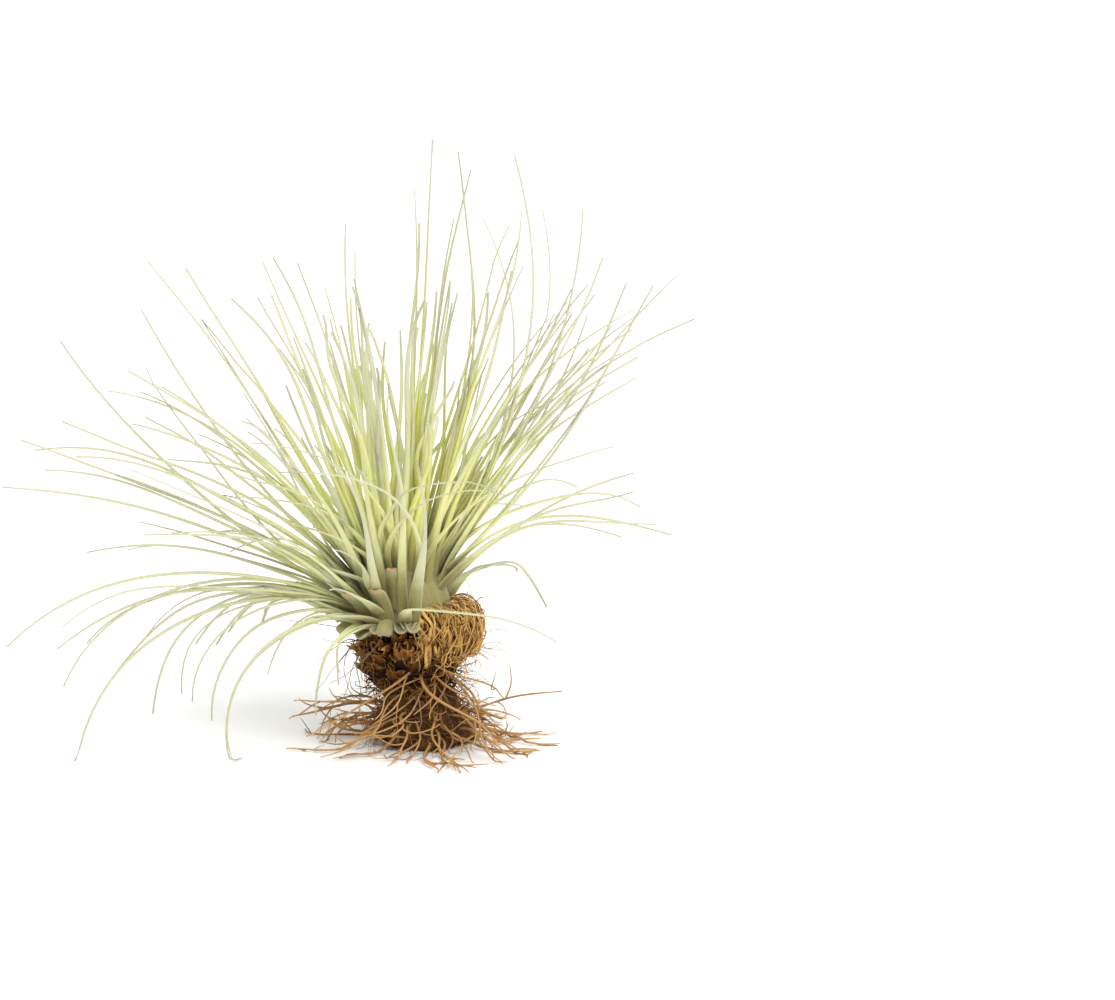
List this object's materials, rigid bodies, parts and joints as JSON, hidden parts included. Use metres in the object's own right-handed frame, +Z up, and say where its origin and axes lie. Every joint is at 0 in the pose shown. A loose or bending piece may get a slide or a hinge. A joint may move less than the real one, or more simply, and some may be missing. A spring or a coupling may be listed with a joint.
{
  "type": "air plant",
  "caption": "Air plant with a dense crown of thread-like silvery green leaves that arch and droop, dry brown sheaths below it and a flat clump of wiry roots that it rests on.",
  "frame": {"origin": "middle of the flat spot under the root clump, on the surface that the plant rests on", "axes": "+Z up, +X to the right and +Y away from the viewer, as the picture shows the plant"},
  "size_m": [0.2081, 0.1687, 0.178],
  "materials": {
    "living_leaf": "matte, with fine silvery scales",
    "dry_sheath": "dry, papery and fibrous",
    "wiry_root": "dry and wiry"
  },
  "bodies": {
    "root": {"leaf_rosette": "living_leaf", "dry_collar": "dry_sheath", "root_clump": "wiry_root"}
  },
  "joints": []
}
